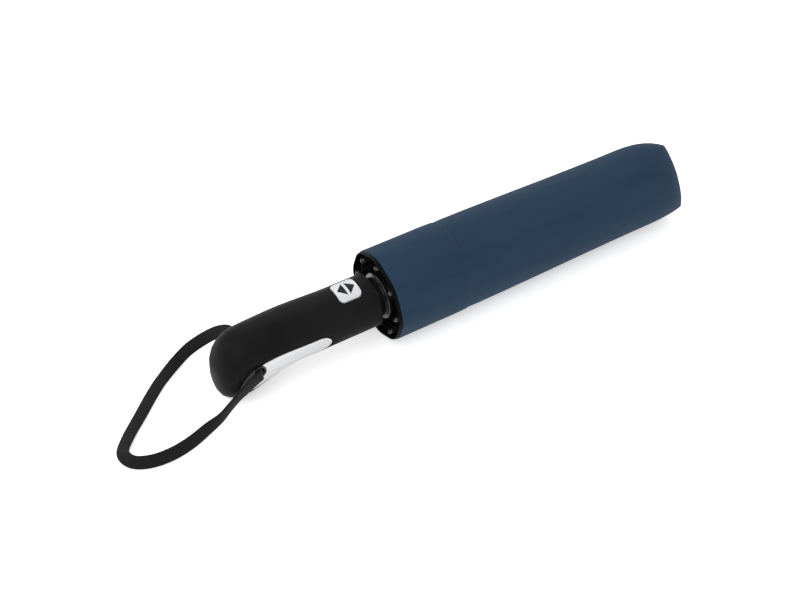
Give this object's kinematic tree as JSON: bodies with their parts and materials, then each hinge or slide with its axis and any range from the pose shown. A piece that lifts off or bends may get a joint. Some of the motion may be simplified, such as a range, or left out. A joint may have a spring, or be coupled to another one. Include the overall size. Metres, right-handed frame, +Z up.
{
  "type": "folding umbrella",
  "caption": "Short folding umbrella, closed and packed in a plain cloth sleeve, with a curved black grip, chrome side inlays, a push button and a flat wrist strap.",
  "frame": {"origin": "under the middle of the object, on the surface that it lies on, without its strap", "axes": "+X along the shaft towards the sleeve's closed end, +Z up out of the push button, the near inlay at -Y"},
  "size_m": [0.363, 0.0643, 0.0517],
  "materials": {
    "grip_rubberised": "soft-touch rubberised black",
    "black_plastic": "smooth moulded black",
    "chrome_inlay": "satin metallised",
    "silver_button": "silver grey, printed with two plain triangles",
    "steel": "bright drawn wire and sheet",
    "black_steel": "black coated tube and sheet",
    "canopy_cloth": "thin coated umbrella cloth, navy, folded",
    "sleeve_cloth": "plain woven polyester, navy",
    "webbing": "flat woven black webbing"
  },
  "bodies": {
    "handle": {"grip_body": "grip_rubberised", "inlay_near": "chrome_inlay", "inlay_far": "chrome_inlay", "mechanism_core": "black_plastic", "handle_collar": "black_plastic", "button_spring": "steel", "shaft_pin": "steel", "lower_tube": "black_steel", "strap_eyelet_near": "black_plastic", "strap_eyelet_far": "black_plastic", "strap": "webbing"},
    "button": {"push_button": "silver_button", "latch_plate": "steel"},
    "middle_shaft": {"middle_tube": "black_steel"},
    "upper_shaft": {"upper_tube": "black_steel", "opening_spring": "steel", "crown": "black_plastic", "crown_ring": "steel", "runner": "black_plastic", "runner_ring": "steel", "top_cap": "black_plastic", "canopy": "canopy_cloth", "closing_band": "canopy_cloth", "rib_top_1": "black_steel", "rib_top_2": "black_steel", "rib_top_3": "black_steel", "rib_top_4": "black_steel", "rib_top_5": "black_steel", "rib_top_6": "black_steel", "rib_top_7": "black_steel", "rib_top_8": "black_steel", "rib_stretcher_1": "black_steel", "rib_stretcher_2": "black_steel", "rib_stretcher_3": "black_steel", "rib_stretcher_4": "black_steel", "rib_stretcher_5": "black_steel", "rib_stretcher_6": "black_steel", "rib_stretcher_7": "black_steel", "rib_stretcher_8": "black_steel", "rib_mid_1": "black_steel", "rib_mid_2": "black_steel", "rib_mid_3": "black_steel", "rib_mid_4": "black_steel", "rib_mid_5": "black_steel", "rib_mid_6": "black_steel", "rib_mid_7": "black_steel", "rib_mid_8": "black_steel", "rib_outer_1": "black_steel", "rib_outer_2": "black_steel", "rib_outer_3": "black_steel", "rib_outer_4": "black_steel", "rib_outer_5": "black_steel", "rib_outer_6": "black_steel", "rib_outer_7": "black_steel", "rib_outer_8": "black_steel"},
    "sleeve_case": {"sleeve": "sleeve_cloth"}
  },
  "joints": [
    {"name": "button_press", "type": "slide", "parent": "handle", "child": "button", "axis": [0, 0, -1], "range_m": [0, 0.002], "stiffness_N_per_m": 400, "springref_m": -0.0025, "deforming": ["button_spring"]},
    {"name": "shaft_extend", "type": "slide", "parent": "handle", "child": "middle_shaft", "axis": [1, 0, 0], "range_m": [0, 0.15]},
    {"name": "shaft_extend_upper", "type": "slide", "parent": "middle_shaft", "child": "upper_shaft", "axis": [1, 0, 0], "range_m": [0, 0.15]},
    {"name": "sleeve_pull", "type": "slide", "parent": "upper_shaft", "child": "sleeve_case", "axis": [1, 0, 0], "range_m": [0, 0.21]}
  ],
  "couplings": [
    {"joint": "shaft_extend_upper", "follows": "shaft_extend", "ratio": 1}
  ]
}
